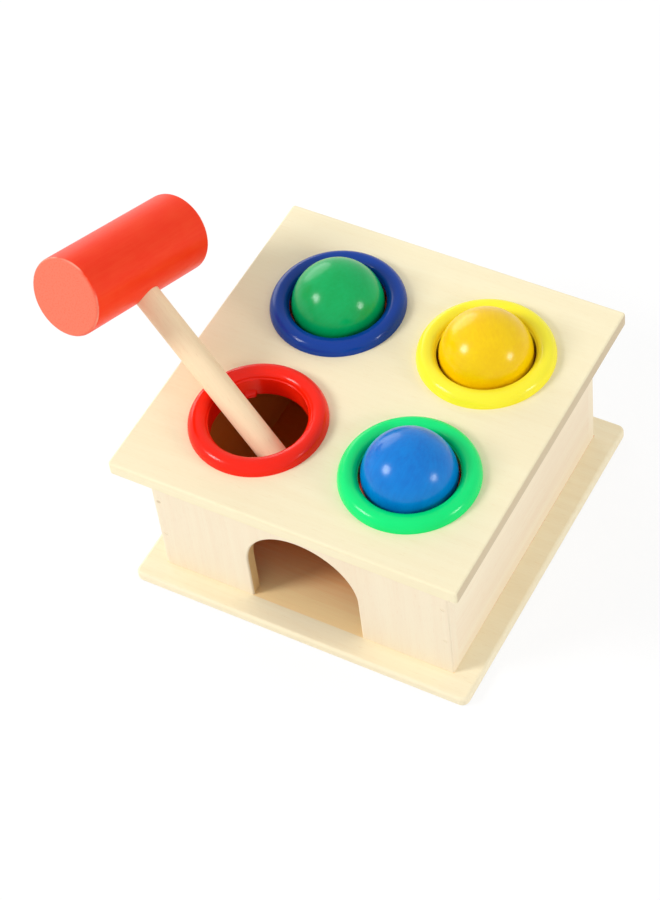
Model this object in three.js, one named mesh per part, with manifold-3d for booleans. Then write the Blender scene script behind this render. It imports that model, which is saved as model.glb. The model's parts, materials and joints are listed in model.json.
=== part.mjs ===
// A wooden ball pounding toy: a square box of boards with four plastic collars let into its lid.
// A painted ball sits in each collar on three moulded nubs. A blow of the hammer drives it past
// them into the box, and it rolls out through the arch in the front wall.
// Millimetres, +Z up. The origin is the middle of the base's underside, and the arch faces -Y.
import * as THREE from 'three';
import { mergeVertices } from 'three/addons/utils/BufferGeometryUtils.js';
import Module from 'manifold-3d';

// Balls: just over the gauge that keeps a ball safe for a small child
const BALL_D = 45;
const BALL_RISE = 0.8; // a ball's centre above the lid
const REST_GAP = 0.3; // between a loose piece and what it rests on

// Collars: a bead on the lid, and a sleeve down through it
const THROAT_CLEARANCE = 1.1; // between a ball and the sleeve
const SLEEVE_WALL = 3.0;
const SLEEVE_L = 9.2; // the sleeve's length below the lid's face
const SLEEVE_FIT = 0.3; // between the sleeve and its hole
const FLANGE_W = 6.6; // how far the bead covers the lid round the sleeve
const BEAD_H = 5.7;
const BEAD_SHOULDER = 4.7; // from the bead's outer edge in to its crest
const LIP_STEP = 0.5; // the fine slope where the bead meets the throat
const LIP_H = 2.6; // its upper edge above the lid
const SLEEVE_EASE = 1.2; // on the sleeve's lower inner edge
const NUB_COUNT = 3;
const NUB_TIP_R = 1.5;
const NUB_W = 6;
const NUB_RISE = 1.8; // the nub's tip above the sleeve's lower end
const NUB_LEAD = 1.5; // the slope on top of a nub
const NUB_ROOT = 1.0; // how far a nub reaches into the sleeve's wall
const NUB_ANGLE = 131; // degrees from +X to the first nub

// Box
const RING_SPACING = 12.6; // lid left between two collars
const RING_SHIFT = 1.8; // the four collars to the right of the lid's middle
const DROP_CLEARANCE = 10; // between a falling ball and the walls
const WALL_T = 6;
const WALL_H = 77;
const WALL_EASE = 1.0; // on the outer corners of the front and back walls
const LID_T = 8;
const BASE_T = 6;
const OVERHANG = 12; // of the lid and the base past the walls
const LID_CORNER_R = 1.6; // in plan
const BASE_CORNER_R = 4;
const LID_EASE = 1.2;
const BASE_EASE = 1.8;

// Arch in the front wall
const ARCH_CLEARANCE = 7; // beside a ball that rolls out
const ARCH_SPRING = 26.8; // height of the straight jambs
const ARCH_EASE = 1.0;

// Brads that pin the front and back walls to the ends of the side walls
const BRAD_SHANK_D = 1.4;
const BRAD_HEAD_D = 2.0;
const BRAD_HEAD_H = 1.0;
const BRAD_L = 20;
const BRAD_POINT = 1.6;
const BRAD_SUNK = 0.4; // the head below the wall's face
const BRAD_FIT = 0.15;
const BRAD_DROP = 27.7; // the upper brad below the wall's top
const BRAD_SPACING = 24.6; // from the upper brad to the lower one

// Hammer, leaning in the empty collar: over the bead and under the sleeve's far edge
const HEAD_D = 39.2;
const HEAD_L = 82;
const HEAD_EASE = 1.6;
const HANDLE_D = 12.8;
const HANDLE_L = 167;
const HANDLE_EASE = 1.5;
const SOCKET_DEPTH = 26;
const SOCKET_FIT = 0.3;
const LEAN_AZIMUTH = -19.45; // degrees, the way that the handle runs down into the box
const LEAN_ROLL = -22; // degrees, the head's turn about the handle
const LEAN_OFFSET = 3.7; // the handle's line beside the collar's middle
const FOOT_CLEARANCE = 5; // between the handle's foot and the front wall

// Facets round a circle
const BALL_SIDES = 32;
const RING_SIDES = 40;
const HEAD_SIDES = 48;
const HANDLE_SIDES = 28;
const BRAD_SIDES = 10;
const ARCH_STEPS = 24; // over the arch's half circle
const CORNER_STEPS = 5;
const BEAD_STEPS = 5;
const NUB_STEPS = 6;
const EASE_STEPS = 3;

// Sizes and heights that follow
const BALL_R = BALL_D / 2;
const THROAT_R = BALL_R + THROAT_CLEARANCE;
const SLEEVE_R = THROAT_R + SLEEVE_WALL;
const HOLE_R = SLEEVE_R + SLEEVE_FIT;
const BEAD_R = SLEEVE_R + FLANGE_W;
const CREST_R = BEAD_R - BEAD_SHOULDER;
const RING_XY = BEAD_R + RING_SPACING / 2;
const RING_LEFT = RING_SHIFT - RING_XY;
const RING_RIGHT = RING_SHIFT + RING_XY;
const WALL_IN = RING_XY + BALL_R + DROP_CLEARANCE; // half of the box's inside
const WALL_OUT = WALL_IN + WALL_T;
const BOARD = 2 * (WALL_OUT + OVERHANG);
const FLOOR_Z = BASE_T;
const LID_LOW_Z = BASE_T + WALL_H;
const LID_Z = LID_LOW_Z + LID_T;
const HANDLE_R = HANDLE_D / 2;
const HEAD_R = HEAD_D / 2;

const wasm = await Module();
wasm.setup();

// Finishes: bare wood, moulded plastic, gloss paint and steel
function finish(color, roughness, metalness = 0) {
  return { color, roughness, metalness };
}
const BARE = 0.62;
const MOULDED = 0.18;
const GLOSS = 0.2;
const SATIN = 0.35;
const BOARD_WOOD = finish(0xf4e3bf, BARE);
const WALL_WOOD = finish(0xf3dfc2, BARE);
const DOWEL = finish(0xe8cfa6, BARE);
const STEEL = finish(0x6d6a66, 0.45, 0.9);
const RED_HEAD = finish(0xf4411b, SATIN);

const toy = new THREE.Group();

// Puts a named mesh into a group and returns it, so that it can be placed.
function place(group, name, geometry, look) {
  const mesh = new THREE.Mesh(geometry, new THREE.MeshStandardMaterial(look));
  mesh.name = name;
  group.add(mesh);
  return mesh;
}

// A closed geometry as a solid for joining and cutting.
function toSolid(geometry) {
  const bare = geometry.clone();
  bare.deleteAttribute('normal');
  bare.deleteAttribute('uv');
  const merged = mergeVertices(bare, 1e-4);
  return new wasm.Manifold(new wasm.Mesh({
    numProp: 3,
    vertProperties: new Float32Array(merged.attributes.position.array),
    triVerts: new Uint32Array(merged.index.array),
  }));
}

// A solid back as a geometry.
function toGeometry(solid) {
  const mesh = solid.getMesh();
  const geometry = new THREE.BufferGeometry();
  geometry.setAttribute('position', new THREE.BufferAttribute(new Float32Array(mesh.vertProperties), 3));
  geometry.setIndex(new THREE.BufferAttribute(new Uint32Array(mesh.triVerts), 1));
  geometry.computeVertexNormals();
  return geometry;
}

// A cylinder along +Z from its foot, for holes.
function drill(radius, length, sides) {
  const geometry = new THREE.CylinderGeometry(radius, radius, length, sides);
  geometry.rotateX(Math.PI / 2);
  geometry.translate(0, 0, length / 2);
  return geometry;
}

// A profile of [radius, height] points turned about +Z.
function turn(profile, sides) {
  const geometry = new THREE.LatheGeometry(profile.map(([r, z]) => new THREE.Vector2(r, z)), sides);
  geometry.rotateX(Math.PI / 2);
  return geometry;
}

// Points on a quarter of an ellipse about [r, z], from one angle in degrees to another, the first left out.
function quarter([r, z], [a, b], from, to, steps) {
  return Array.from({ length: steps }, (_, i) => {
    const t = THREE.MathUtils.degToRad(from + (to - from) * (i + 1) / steps);
    return [r + a * Math.cos(t), z + b * Math.sin(t)];
  });
}

// A square board with rounded corners and eased edges, standing on z.
function board(size, thickness, corner, ease, z) {
  const half = size / 2 - ease;
  const r = corner - ease;
  const shape = new THREE.Shape();
  shape.absarc(half - r, half - r, r, 0, Math.PI / 2);
  shape.absarc(r - half, half - r, r, Math.PI / 2, Math.PI);
  shape.absarc(r - half, r - half, r, Math.PI, 1.5 * Math.PI);
  shape.absarc(half - r, r - half, r, 1.5 * Math.PI, 2 * Math.PI);
  const geometry = new THREE.ExtrudeGeometry(shape, {
    depth: thickness - 2 * ease,
    bevelThickness: ease,
    bevelSize: ease,
    bevelSegments: EASE_STEPS,
    curveSegments: CORNER_STEPS,
  });
  geometry.translate(0, 0, z + ease);
  return geometry;
}

const RINGS = [
  { name: 'blue_ring', x: RING_LEFT, y: RING_XY, look: finish(0x0b3fa6, MOULDED) },
  { name: 'yellow_ring', x: RING_RIGHT, y: RING_XY, look: finish(0xfff02a, MOULDED) },
  { name: 'red_ring', x: RING_LEFT, y: -RING_XY, look: finish(0xfb2410, MOULDED) },
  { name: 'green_ring', x: RING_RIGHT, y: -RING_XY, look: finish(0x0fd867, MOULDED) },
];

// The lid with its four holes, and the base.
let lid = toSolid(board(BOARD, LID_T, LID_CORNER_R, LID_EASE, LID_LOW_Z));
for (const { x, y } of RINGS) {
  const hole = drill(HOLE_R, 3 * LID_T, RING_SIDES);
  hole.translate(x, y, LID_LOW_Z - LID_T);
  lid = lid.subtract(toSolid(hole));
}
place(toy, 'top_board', toGeometry(lid), BOARD_WOOD);
place(toy, 'base_board', board(BOARD, BASE_T, BASE_CORNER_R, BASE_EASE, 0), BOARD_WOOD);

// A brad's profile from its head at 0, and the depth of the hole that it needs.
const brad = [
  [0, 0],
  [BRAD_HEAD_D / 2, 0],
  [BRAD_HEAD_D / 2, BRAD_HEAD_H],
  [BRAD_SHANK_D / 2, BRAD_HEAD_H],
  [BRAD_SHANK_D / 2, BRAD_L - BRAD_POINT],
  [0, BRAD_L],
];
const bradHoleDepth = BRAD_L + BRAD_SUNK + BRAD_FIT;
const BRADS = [];
for (const side of ['left', 'right']) {
  for (const level of ['upper', 'lower']) {
    const x = (side === 'left' ? -1 : 1) * (WALL_OUT - WALL_T / 2);
    const z = LID_LOW_Z - BRAD_DROP - (level === 'upper' ? 0 : BRAD_SPACING);
    BRADS.push({ side, level, x, z });
  }
}

// The brad holes of one face, bored towards the middle: the front is -1 and the back 1.
function boreBrads(solid, face) {
  for (const { x, z } of BRADS) {
    const hole = drill(BRAD_HEAD_D / 2 + BRAD_FIT, bradHoleDepth + WALL_EASE, BRAD_SIDES);
    hole.rotateX(face * Math.PI / 2);
    hole.translate(x, face * (WALL_OUT + WALL_EASE), z);
    solid = solid.subtract(toSolid(hole));
  }
  return solid;
}

// A wall that covers the side walls' ends, its outer face at y = -WALL_OUT, with both outer corners eased.
function endWall() {
  const shape = new THREE.Shape();
  shape.moveTo(WALL_OUT, -WALL_IN);
  shape.lineTo(-WALL_OUT, -WALL_IN);
  shape.absarc(WALL_EASE - WALL_OUT, WALL_EASE - WALL_OUT, WALL_EASE, Math.PI, 1.5 * Math.PI);
  shape.absarc(WALL_OUT - WALL_EASE, WALL_EASE - WALL_OUT, WALL_EASE, 1.5 * Math.PI, 2 * Math.PI);
  const geometry = new THREE.ExtrudeGeometry(shape, {
    depth: WALL_H,
    bevelEnabled: false,
    curveSegments: EASE_STEPS,
  });
  geometry.translate(0, 0, FLOOR_Z);
  return boreBrads(toSolid(geometry), -1);
}

// The arch's outline at one depth y, grown by a width all round and open at the floor.
function archSection(y, grow) {
  const half = BALL_R + ARCH_CLEARANCE + grow;
  const spring = FLOOR_Z + ARCH_SPRING;
  const points = [[half, FLOOR_Z - WALL_T], [half, spring]];
  points.push(...quarter([0, spring], [half, half], 0, 180, ARCH_STEPS));
  points.push([-half, FLOOR_Z - WALL_T]);
  return points.map(([x, z]) => new THREE.Vector3(x, y, z));
}

// A closed skin through sections of equal point counts, with a fan over each end.
function loft(sections) {
  const n = sections[0].length;
  const positions = sections.flat().flatMap((p) => p.toArray());
  const index = [];
  for (let s = 0; s + 1 < sections.length; s += 1) {
    for (let i = 0; i < n; i += 1) {
      const a = s * n + i;
      const b = s * n + (i + 1) % n;
      index.push(a, b, a + n, b, b + n, a + n);
    }
  }
  const last = (sections.length - 1) * n;
  for (let i = 1; i + 1 < n; i += 1) {
    index.push(0, i + 1, i, last, last + i, last + i + 1);
  }
  const geometry = new THREE.BufferGeometry();
  geometry.setAttribute('position', new THREE.Float32BufferAttribute(positions, 3));
  geometry.setIndex(index);
  return geometry;
}

// The arch's cutter, from inside the box out through the wall, flared round the outer edge.
const archSections = [archSection(-WALL_IN + WALL_T, 0)];
for (const [grow, out] of [[0, 0], ...quarter([ARCH_EASE, 0], [ARCH_EASE, ARCH_EASE], 180, 90, EASE_STEPS)]) {
  archSections.push(archSection(-WALL_OUT + ARCH_EASE - out, grow));
}
archSections.push(archSection(-WALL_OUT - WALL_T, ARCH_EASE));
const frontWall = endWall().subtract(toSolid(loft(archSections)));
place(toy, 'front_wall', toGeometry(frontWall), WALL_WOOD);
place(toy, 'back_wall', toGeometry(endWall()), WALL_WOOD).rotation.z = Math.PI;

// The side walls stand between the front and back walls, bored at both ends.
function sideWall(side) {
  const geometry = new THREE.BoxGeometry(WALL_T, 2 * WALL_IN, WALL_H);
  geometry.translate(side * (WALL_OUT - WALL_T / 2), 0, FLOOR_Z + WALL_H / 2);
  return toGeometry(boreBrads(boreBrads(toSolid(geometry), -1), 1));
}
place(toy, 'left_wall', sideWall(-1), WALL_WOOD);
place(toy, 'right_wall', sideWall(1), WALL_WOOD);

for (const [name, face] of [['front', -1], ['back', 1]]) {
  for (const { side, level, x, z } of BRADS) {
    const geometry = turn(brad, BRAD_SIDES);
    geometry.rotateX(face * Math.PI / 2);
    const mesh = place(toy, `brad_${name}_${side}_${level}`, geometry, STEEL);
    mesh.position.set(x, face * (WALL_OUT - BRAD_SUNK), z);
  }
}

// One collar, its flange's underside at z = 0.
const lipCentre = [CREST_R, LIP_H];
const lipAxes = [CREST_R - THROAT_R - LIP_STEP, BEAD_H - LIP_H];
const NUB_Z = NUB_RISE - SLEEVE_L;
const NUB_R = Math.sqrt((BALL_R + NUB_TIP_R + REST_GAP) ** 2 - (BALL_RISE - NUB_Z) ** 2);

function collar() {
  const profile = [
    [THROAT_R, SLEEVE_EASE - SLEEVE_L],
    [THROAT_R + SLEEVE_EASE, -SLEEVE_L],
    [SLEEVE_R, -SLEEVE_L],
    [SLEEVE_R, 0],
    [BEAD_R, 0],
    ...quarter([CREST_R, 0], [BEAD_SHOULDER, BEAD_H], 0, 90, BEAD_STEPS),
    ...quarter(lipCentre, lipAxes, 90, 180, BEAD_STEPS),
    [THROAT_R, LIP_H - LIP_STEP],
    [THROAT_R, SLEEVE_EASE - SLEEVE_L],
  ];
  let solid = toSolid(turn(profile, RING_SIDES));
  const shape = new THREE.Shape();
  shape.moveTo(THROAT_R + NUB_ROOT, NUB_Z + NUB_TIP_R + NUB_LEAD);
  shape.lineTo(NUB_R, NUB_Z + NUB_TIP_R);
  shape.absarc(NUB_R, NUB_Z, NUB_TIP_R, Math.PI / 2, 1.5 * Math.PI);
  shape.lineTo(THROAT_R + NUB_ROOT, NUB_Z - NUB_TIP_R);
  for (let i = 0; i < NUB_COUNT; i += 1) {
    const nub = new THREE.ExtrudeGeometry(shape, {
      depth: NUB_W,
      bevelEnabled: false,
      curveSegments: NUB_STEPS,
    });
    nub.translate(0, 0, -NUB_W / 2);
    nub.rotateX(Math.PI / 2);
    nub.rotateZ(THREE.MathUtils.degToRad(NUB_ANGLE) + 2 * Math.PI * i / NUB_COUNT);
    solid = solid.add(toSolid(nub));
  }
  return toGeometry(solid);
}

for (const { name, x, y, look } of RINGS) {
  place(toy, name, collar(), look).position.set(x, y, LID_Z);
}

// The balls: three on their nubs, and the red one knocked through, on the floor between the four drops.
const SEAT_Z = LID_Z + BALL_RISE;
const BALLS = [
  { name: 'green_ball', at: [RING_LEFT, RING_XY, SEAT_Z], look: finish(0x05a957, GLOSS) },
  { name: 'yellow_ball', at: [RING_RIGHT, RING_XY, SEAT_Z], look: finish(0xf9d006, GLOSS) },
  { name: 'blue_ball', at: [RING_RIGHT, -RING_XY, SEAT_Z], look: finish(0x0674d6, GLOSS) },
  { name: 'red_ball', at: [RING_SHIFT, 0, FLOOR_Z + BALL_R + REST_GAP], look: finish(0xee2a14, GLOSS) },
];
for (const { name, at, look } of BALLS) {
  const ball = new THREE.SphereGeometry(BALL_R, BALL_SIDES, BALL_SIDES / 2);
  ball.rotateX(Math.PI / 2);
  place(toy, name, ball, look).position.set(...at);
}

// The handle's lean: seen from the side it lies on the bead, on its crest's inner curve, and under the far
// edge of the hole, so that the weight of the head wedges it there. The slope is found by halving.
const rest = HANDLE_R + REST_GAP;
const along = (r) => Math.sqrt(r ** 2 - LEAN_OFFSET ** 2);
const FAR_EDGES = [
  [along(THROAT_R), SLEEVE_EASE - SLEEVE_L],
  [along(THROAT_R + SLEEVE_EASE), -SLEEVE_L],
  [along(HOLE_R), -LID_T],
];

// Height of the handle's line along its normal, as the bead and as the far edges allow it.
function leanHeights(slope) {
  const [s, c] = [Math.sin(slope), Math.cos(slope)];
  const overBead = -s * along(CREST_R) + c * LIP_H + Math.hypot(s * lipAxes[0], c * lipAxes[1]) + rest;
  const underEdges = Math.min(...FAR_EDGES.map(([r, z]) => s * r + c * z)) - rest;
  return [overBead, underEdges];
}

let [flat, steep] = [0, Math.PI / 2];
for (let i = 0; i < 40; i += 1) {
  const middle = (flat + steep) / 2;
  const [over, under] = leanHeights(middle);
  [flat, steep] = over > under ? [middle, steep] : [flat, middle];
}
const slope = steep;
const [height] = leanHeights(slope);

// The hammer's own frame: +Y up the handle to the head, +X along the head.
const azimuth = THREE.MathUtils.degToRad(LEAN_AZIMUTH);
const roll = THREE.MathUtils.degToRad(LEAN_ROLL);
const ahead = new THREE.Vector3(Math.cos(azimuth), Math.sin(azimuth), 0);
const across = new THREE.Vector3(-Math.sin(azimuth), Math.cos(azimuth), 0);
const up = new THREE.Vector3(0, 0, 1);
const down = ahead.clone().multiplyScalar(Math.cos(slope)).addScaledVector(up, -Math.sin(slope));
const over = ahead.clone().multiplyScalar(Math.sin(slope)).addScaledVector(up, Math.cos(slope));
const headAxis = across.clone().multiplyScalar(Math.cos(roll)).addScaledVector(over, Math.sin(roll));
const upHandle = down.clone().negate();
const third = headAxis.clone().cross(upHandle);

// The foot stops short of the front wall, and the handle's length then sets how far the head stands out.
const nearest = new THREE.Vector3(RING_LEFT, -RING_XY, LID_Z);
nearest.addScaledVector(across, -LEAN_OFFSET).addScaledVector(over, height);
const footY = -WALL_IN + FOOT_CLEARANCE + HANDLE_R * Math.sqrt(1 - down.y ** 2);
const foot = nearest.clone().addScaledVector(down, (footY - nearest.y) / down.y);
const socketFloor = HEAD_R - SOCKET_DEPTH;
const topEnd = -socketFloor - SOCKET_FIT; // the handle's upper end past the head's axis
const headCentre = foot.clone().addScaledVector(upHandle, HANDLE_L - topEnd);

const hammer = new THREE.Group();
hammer.position.copy(headCentre);
hammer.quaternion.setFromRotationMatrix(new THREE.Matrix4().makeBasis(headAxis, upHandle, third));

const headProfile = [
  [0, -HEAD_L / 2],
  [HEAD_R - HEAD_EASE, -HEAD_L / 2],
  ...quarter([HEAD_R - HEAD_EASE, HEAD_EASE - HEAD_L / 2], [HEAD_EASE, HEAD_EASE], -90, 0, EASE_STEPS),
  [HEAD_R, HEAD_L / 2 - HEAD_EASE],
  ...quarter([HEAD_R - HEAD_EASE, HEAD_L / 2 - HEAD_EASE], [HEAD_EASE, HEAD_EASE], 0, 90, EASE_STEPS),
  [0, HEAD_L / 2],
];
const head = turn(headProfile, HEAD_SIDES);
head.rotateY(Math.PI / 2);
const socket = drill(HANDLE_R + SOCKET_FIT, 2 * HEAD_R, HANDLE_SIDES);
socket.rotateX(Math.PI / 2);
socket.translate(0, -socketFloor, 0);
place(hammer, 'hammer_head', toGeometry(toSolid(head).subtract(toSolid(socket))), RED_HEAD);

const footEnd = topEnd - HANDLE_L;
const handleProfile = [
  [0, footEnd],
  [HANDLE_R - HANDLE_EASE, footEnd],
  ...quarter([HANDLE_R - HANDLE_EASE, footEnd + HANDLE_EASE], [HANDLE_EASE, HANDLE_EASE], -90, 0, EASE_STEPS),
  [HANDLE_R, topEnd],
  [0, topEnd],
];
const handle = turn(handleProfile, HANDLE_SIDES);
handle.rotateX(-Math.PI / 2);
place(hammer, 'hammer_handle', handle, DOWEL);
toy.add(hammer);

export default toy;
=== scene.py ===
# %% [markdown]
# # A wooden ball pounding toy
# A pale box holds four plastic collars in its lid. Painted balls sit in three of them, and a hammer
# leans in the fourth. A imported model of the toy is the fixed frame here: it gives each piece its place
# and size in metres. The cells below follow it with finer surfaces, real finishes, a camera and light.

# %% Load the frame
import json
import math

import bmesh
import bpy
import numpy as np
from mathutils import Matrix, Vector


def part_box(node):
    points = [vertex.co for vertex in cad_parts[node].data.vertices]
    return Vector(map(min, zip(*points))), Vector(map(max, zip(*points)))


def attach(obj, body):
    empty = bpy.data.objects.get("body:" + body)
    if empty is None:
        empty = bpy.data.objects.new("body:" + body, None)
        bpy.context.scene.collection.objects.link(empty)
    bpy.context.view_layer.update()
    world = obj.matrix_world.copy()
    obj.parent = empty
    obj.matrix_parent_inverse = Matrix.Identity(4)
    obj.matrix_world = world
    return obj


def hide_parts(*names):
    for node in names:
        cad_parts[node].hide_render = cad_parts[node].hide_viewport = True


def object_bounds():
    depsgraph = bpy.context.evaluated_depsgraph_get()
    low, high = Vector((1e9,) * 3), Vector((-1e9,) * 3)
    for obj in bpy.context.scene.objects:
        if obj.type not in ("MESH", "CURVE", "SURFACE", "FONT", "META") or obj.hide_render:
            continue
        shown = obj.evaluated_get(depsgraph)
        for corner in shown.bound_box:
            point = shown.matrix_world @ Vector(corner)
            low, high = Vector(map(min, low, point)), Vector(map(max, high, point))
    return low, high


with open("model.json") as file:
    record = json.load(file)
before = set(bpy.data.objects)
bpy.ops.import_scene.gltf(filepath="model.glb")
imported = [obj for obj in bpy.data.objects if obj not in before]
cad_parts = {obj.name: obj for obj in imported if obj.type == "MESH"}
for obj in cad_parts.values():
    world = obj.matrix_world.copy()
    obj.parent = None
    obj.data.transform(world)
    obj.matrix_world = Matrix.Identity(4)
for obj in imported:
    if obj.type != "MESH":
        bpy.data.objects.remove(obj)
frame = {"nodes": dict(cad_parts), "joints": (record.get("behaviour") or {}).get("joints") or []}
CAD_BOX = [list(corner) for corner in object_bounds()]
MM = 0.001
X_AXIS, Y_AXIS, Z_AXIS = (1.0, 0.0, 0.0), (0.0, 1.0, 0.0), (0.0, 0.0, 1.0)


def box(node):
    """The lowest and highest corner of a node of the frame, as arrays in metres."""
    low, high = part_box(node)
    return np.array(low), np.array(high)


# %% [markdown]
# ## The camera
# The photograph was taken from the front right, well above the lid, with the camera tipped a little to
# one side. The view is written as a maker would say it: where the camera stands round the toy, how high
# it looks down, how far off it is, and how it is rolled. Blender wants a place and three directions, so
# the cell turns the one into the other.

# %% Place the camera
VIEW_AZIMUTH = math.radians(34.56)
VIEW_ELEVATION = math.radians(50.84)
VIEW_ROLL = math.radians(-8.15)
VIEW_DISTANCE = 1284.82 * MM
VIEW_SIDE = -26.64 * MM
VIEW_RISE = 27.36 * MM
FOCAL_PIXELS = 2601.29
FRAME_HEIGHT_PIXELS = 900
SENSOR = 36.0
NEAREST = 0.05


def view_directions():
    """Right, up and back of the camera: back points from the toy to the camera by azimuth and elevation,
    right lies level, up is square to both, and the roll then turns right and up about back."""
    a, e, r = VIEW_AZIMUTH, VIEW_ELEVATION, VIEW_ROLL
    back = np.array([math.sin(a) * math.cos(e), -math.cos(a) * math.cos(e), math.sin(e)])
    level = np.array([math.cos(a), math.sin(a), 0.0])
    above = np.cross(back, level)
    right = math.cos(r) * level + math.sin(r) * above
    up = math.cos(r) * above - math.sin(r) * level
    return right, up, back


RIGHT, UP, BACK = view_directions()
eye = BACK * VIEW_DISTANCE + RIGHT * VIEW_SIDE + UP * VIEW_RISE
lens = bpy.data.cameras.new("view")
lens.sensor_width = SENSOR
lens.lens = FOCAL_PIXELS / FRAME_HEIGHT_PIXELS * SENSOR
lens.clip_start = NEAREST
camera = bpy.data.objects.new("view", lens)
pose = np.eye(4)
pose[:3, 0], pose[:3, 1], pose[:3, 2], pose[:3, 3] = RIGHT, UP, BACK, eye
camera.matrix_world = Matrix(pose.tolist())
bpy.context.scene.collection.objects.link(camera)
bpy.context.scene.camera = camera
print("camera at", eye.round(3), "with a lens of", round(lens.lens, 1), "mm")

# %% [markdown]
# ## Surfaces from grids
# Every new piece starts as a grid of points: a formula of two parameters, worked out by numpy for all
# the points at once. The helpers here turn a grid into a closed mesh, cut one mesh out of another, and
# shade the result so that flat faces stay flat right up to their rounded edges.

# %% Helpers that make meshes
WELD = 2e-6
SHARP_ANGLE = 38.0


def grid_faces(rows, columns):
    """Quads of a grid: each joins a point, the one below it, and the right-hand neighbours of both."""
    index = np.arange(rows * columns).reshape(rows, columns)
    corners = (index[:-1, :-1], index[1:, :-1], index[1:, 1:], index[:-1, 1:])
    return np.stack(corners, axis=-1).reshape(-1, 4)


def skin(name, grid):
    """A closed mesh from a grid of points (rows, columns, 3). Points that meet are welded, open ends are
    filled with a flat face, and the faces are turned outwards."""
    mesh = bpy.data.meshes.new(name)
    mesh.from_pydata(grid.reshape(-1, 3).tolist(), [], grid_faces(*grid.shape[:2]).tolist())
    work = bmesh.new()
    work.from_mesh(mesh)
    bmesh.ops.remove_doubles(work, verts=work.verts, dist=WELD)
    bmesh.ops.dissolve_degenerate(work, edges=work.edges, dist=WELD)
    bmesh.ops.holes_fill(work, edges=[edge for edge in work.edges if edge.is_boundary])
    bmesh.ops.recalc_face_normals(work, faces=work.faces)
    work.to_mesh(mesh)
    work.free()
    piece = bpy.data.objects.new(name, mesh)
    bpy.context.scene.collection.objects.link(piece)
    return piece


def cut(piece, cutter):
    """Takes the cutter out of a piece and deletes it."""
    change = piece.modifiers.new("cut", "BOOLEAN")
    change.operation = "DIFFERENCE"
    change.solver = "EXACT"
    change.object = cutter
    graph = bpy.context.evaluated_depsgraph_get()
    whole, less = piece.data, bpy.data.meshes.new_from_object(piece.evaluated_get(graph))
    piece.modifiers.clear()
    piece.data = less
    bpy.data.meshes.remove(whole)
    bpy.data.objects.remove(cutter)


def shade(piece):
    """Smooth shading that breaks at sharp edges, with the normals led by the widest faces."""
    piece.data.shade_smooth()
    piece.data.set_sharp_from_angle(angle=math.radians(SHARP_ANGLE))
    lead = piece.modifiers.new("flat faces stay flat", "WEIGHTED_NORMAL")
    lead.keep_sharp = True


def arc(centre, axes, start, end, steps):
    """Points on an ellipse: the centre plus the two half axes times the cosine and sine of an angle, which
    runs from start to end in degrees."""
    t = np.radians(np.linspace(start, end, steps + 1))
    return np.stack([centre[0] + axes[0] * np.cos(t), centre[1] + axes[1] * np.sin(t)], axis=-1)


def dress(piece, node, body):
    """Puts a finished piece in place of a node, on the body that carries it."""
    shade(piece)
    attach(piece, body)
    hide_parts(node)
    DRESSED[node] = piece
    print(node, "has", len(piece.data.polygons), "faces")


DRESSED = {}

# %% Pieces carried round a line
LEANING = (0.31, 0.47, 0.83)


def square_to(axis):
    """An axis at length one, and two directions square to it and to each other: cross products, the first
    of them with a direction that leans away from every axis of the toy."""
    axis = np.asarray(axis, float) / np.linalg.norm(axis)
    aside = np.cross(axis, LEANING)
    aside /= np.linalg.norm(aside)
    return axis, aside, np.cross(axis, aside)


def turned(name, profile, origin, axis, sides):
    """A turned piece: the origin, plus the first column of the profile along the axis, plus the second
    times the cosine and sine of an angle along two directions square to the axis."""
    axis, aside, third = square_to(axis)
    t = np.linspace(0, 2 * np.pi, sides + 1)[None, :, None]
    along, radius = profile[:, 0, None, None], profile[:, 1, None, None]
    return skin(name, origin + along * axis + radius * (np.cos(t) * aside + np.sin(t) * third))


def drum(name, start, axis, radius, length, sides):
    """A cylinder: a turned piece whose profile is one straight line beside the axis."""
    return turned(name, np.array([[0.0, radius], [length, radius]]), start, axis, sides)


# %% [markdown]
# ## The lid and the base
# Both are square boards with sanded edges. Sanding rounds the edge in section, and the corners in plan:
# hardly at all on the lid, and more on the base. A box with a Bevel modifier would come close, but the
# sum of a box, a disc and a ball gives both radii exactly: each direction on a ball picks the corner of
# the box that it leans to.

# %% Boards with two radii
LID_CORNER = 1.6 * MM
LID_EDGE = 1.2 * MM
BASE_CORNER = 4.0 * MM
BASE_EDGE = 1.8 * MM
ROUND_STEPS = 8


def eased_board(name, low, high, corner, edge):
    """A board: the box's corner that direction (u, v) leans to, plus corner less edge along the level
    direction u, plus edge along (u, v). Where u or v changes side the point jumps, which makes the flats."""
    middle, half = (low + high) / 2, (high - low) / 2
    quarter = np.linspace(0, 90, ROUND_STEPS + 1)
    u = np.radians(np.concatenate([quarter, quarter + 90, quarter + 180, quarter + 270, [0]]))
    side_x = np.concatenate([np.repeat([1, -1, -1, 1], ROUND_STEPS + 1), [1]])
    side_y = np.concatenate([np.repeat([1, 1, -1, -1], ROUND_STEPS + 1), [1]])
    v = np.radians(np.concatenate([quarter - 90, quarter]))[:, None]
    side_z = np.repeat([-1, 1], ROUND_STEPS + 1)[:, None]
    reach = corner - edge + edge * np.cos(v)
    x = middle[0] + side_x * (half[0] - corner) + reach * np.cos(u)
    y = middle[1] + side_y * (half[1] - corner) + reach * np.sin(u)
    z = middle[2] + side_z * (half[2] - edge) + edge * np.sin(v) + 0 * u
    return skin(name, np.stack([x, y, z], axis=-1))


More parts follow.
